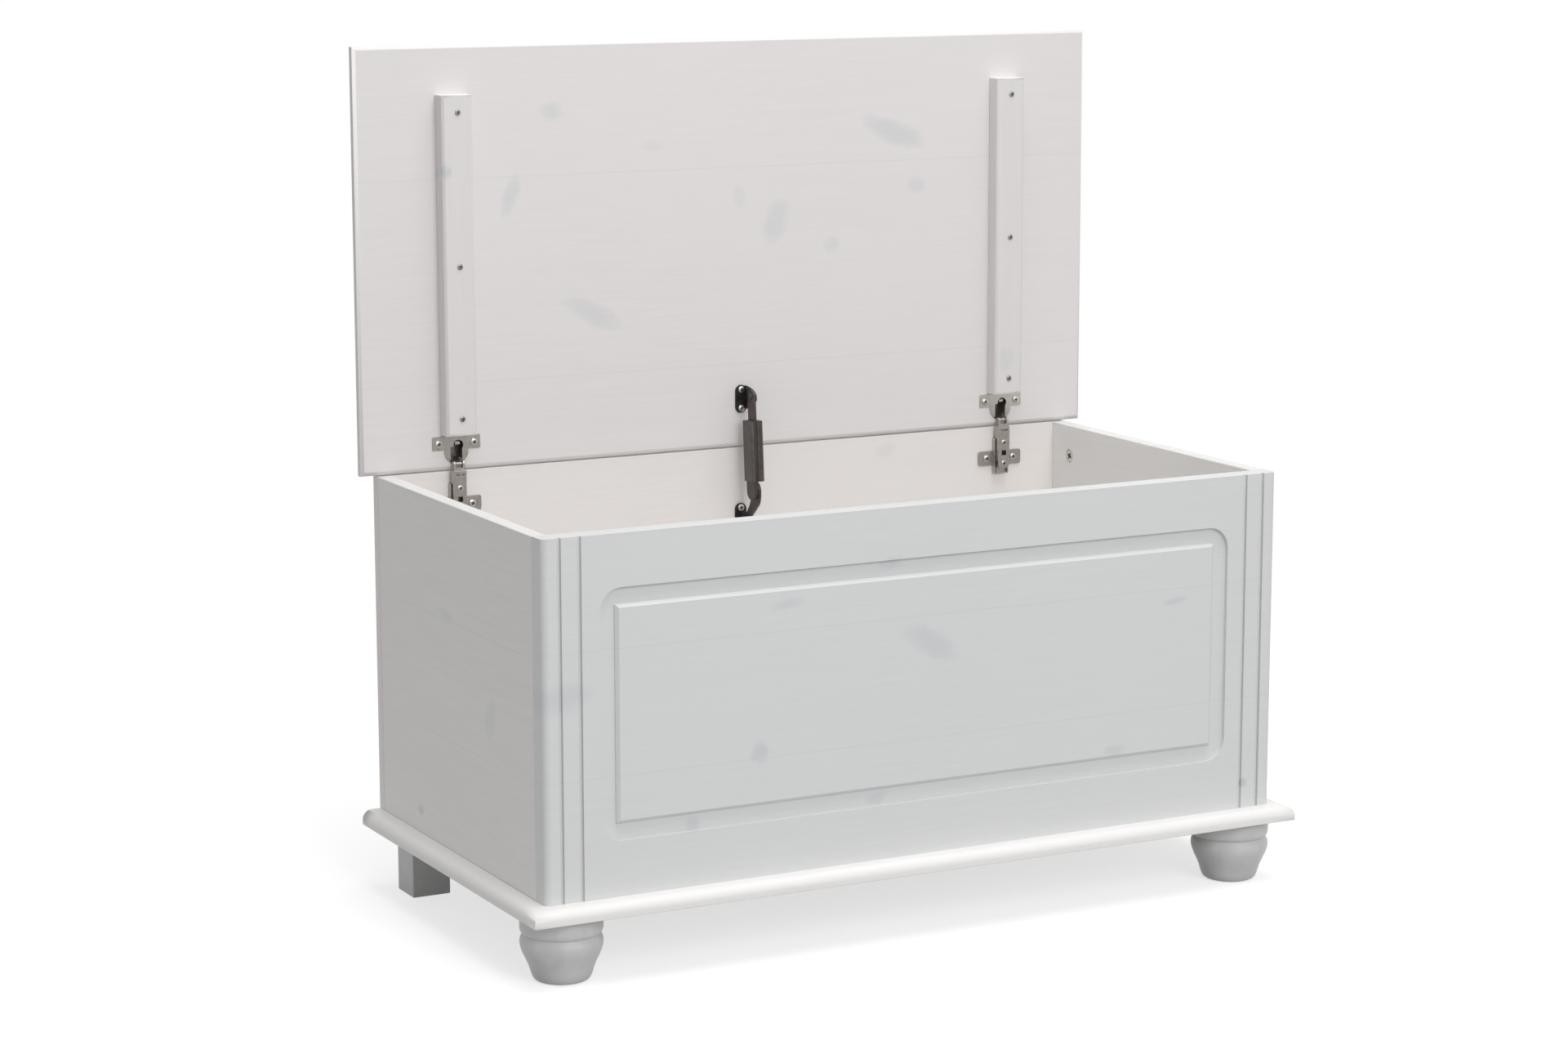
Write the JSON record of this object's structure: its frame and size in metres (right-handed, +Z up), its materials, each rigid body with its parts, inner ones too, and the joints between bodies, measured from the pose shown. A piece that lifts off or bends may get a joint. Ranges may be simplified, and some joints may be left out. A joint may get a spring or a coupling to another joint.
{
  "type": "storage trunk",
  "caption": "Rectangular wooden storage trunk on low feet, with a hinged flat lid standing open, a raised field on its front and a folding lid stay.",
  "frame": {"origin": "on the floor, under the middle of the trunk's bounding box with its lid open", "axes": "+X along the front to the viewer's right, +Y from the front to the back, +Z up"},
  "size_m": [0.838, 0.4284, 0.8415],
  "materials": {
    "glazed_pine": "white translucent glaze, satin",
    "painted_foot": "white paint, satin",
    "nickel_hinge": "nickel plated",
    "screw_steel": "zinc plated",
    "dark_screw": "dark coated",
    "cam_zinc": "cast zinc",
    "dowel_wood": "bare beech",
    "stay_bracket_black": "black coated",
    "stay_brown_steel": "dark brown coated",
    "stay_sleeve_plastic": "moulded, brown-grey"
  },
  "bodies": {
    "chest": {"back_panel": "glazed_pine", "base_board": "glazed_pine", "base_screws": "screw_steel", "cam_bolts": "cam_zinc", "cam_discs": "cam_zinc", "foot_bolts": "screw_steel", "front_dowels": "dowel_wood", "front_left_foot": "painted_foot", "front_panel": "glazed_pine", "front_right_foot": "painted_foot", "hinge_arm_screws": "screw_steel", "hinge_pins": "nickel_hinge", "hinge_plate_screws": "screw_steel", "left_hinge_arm": "nickel_hinge", "left_hinge_plate": "nickel_hinge", "left_side_panel": "glazed_pine", "rear_left_foot": "painted_foot", "rear_right_foot": "painted_foot", "right_hinge_arm": "nickel_hinge", "right_hinge_plate": "nickel_hinge", "right_side_panel": "glazed_pine", "stay_lower_bracket": "stay_bracket_black", "stay_lower_rivet": "stay_brown_steel", "stay_lower_screws": "screw_steel"},
    "lid": {"lid_panel": "glazed_pine", "left_batten": "glazed_pine", "right_batten": "glazed_pine", "left_hinge_cup": "nickel_hinge", "right_hinge_cup": "nickel_hinge", "hinge_cup_screws": "screw_steel", "batten_screws": "dark_screw", "stay_upper_bracket": "stay_bracket_black", "stay_upper_screws": "screw_steel", "stay_upper_rivet": "stay_brown_steel"},
    "left_hinge_link": {"left_hinge_link": "nickel_hinge"},
    "right_hinge_link": {"right_hinge_link": "nickel_hinge"},
    "stay_upper_arm": {"stay_upper_arm": "stay_brown_steel"},
    "stay_sleeve": {"stay_sleeve": "stay_sleeve_plastic", "stay_knuckle": "stay_brown_steel"},
    "stay_lower_arm": {"stay_lower_arm": "stay_brown_steel"}
  },
  "joints": [
    {"name": "lid_hinge", "type": "hinge", "parent": "chest", "child": "lid", "pos_m": [0, 0.20575, 0.42755], "axis": [1, 0, 0], "range_deg": [0, 90]},
    {"name": "left_hinge_link_pivot", "type": "hinge", "parent": "chest", "child": "left_hinge_link", "pos_m": [-0.3165, 0.1928, 0.427], "axis": [1, 0, 0], "range_deg": [-47.58, 0]},
    {"name": "right_hinge_link_pivot", "type": "hinge", "parent": "chest", "child": "right_hinge_link", "pos_m": [0.3165, 0.1928, 0.427], "axis": [1, 0, 0], "range_deg": [-47.58, 0]},
    {"name": "stay_upper_pivot", "type": "hinge", "parent": "lid", "child": "stay_upper_arm", "pos_m": [0.005, 0.178, 0.4745], "axis": [1, 0, 0], "range_deg": [-85.97, 0]},
    {"name": "stay_sleeve_slide", "type": "slide", "parent": "stay_upper_arm", "child": "stay_sleeve", "axis": [0, 0.0715, 0.9974], "range_m": [0, 0.0109]},
    {"name": "stay_lower_pivot", "type": "hinge", "parent": "chest", "child": "stay_lower_arm", "pos_m": [0.0065, 0.1908, 0.34], "axis": [1, 0, 0], "range_deg": [0, 101.51]}
  ],
  "couplings": [
    {"joint": "left_hinge_link_pivot", "follows": "lid_hinge", "ratio": -0.52761},
    {"joint": "right_hinge_link_pivot", "follows": "lid_hinge", "ratio": -0.52761},
    {"joint": "stay_upper_pivot", "follows": "lid_hinge", "ratio": -0.9541},
    {"joint": "stay_sleeve_slide", "follows": "lid_hinge", "m_per_rad": 0.006832},
    {"joint": "stay_lower_pivot", "follows": "lid_hinge", "ratio": 1.1268}
  ]
}
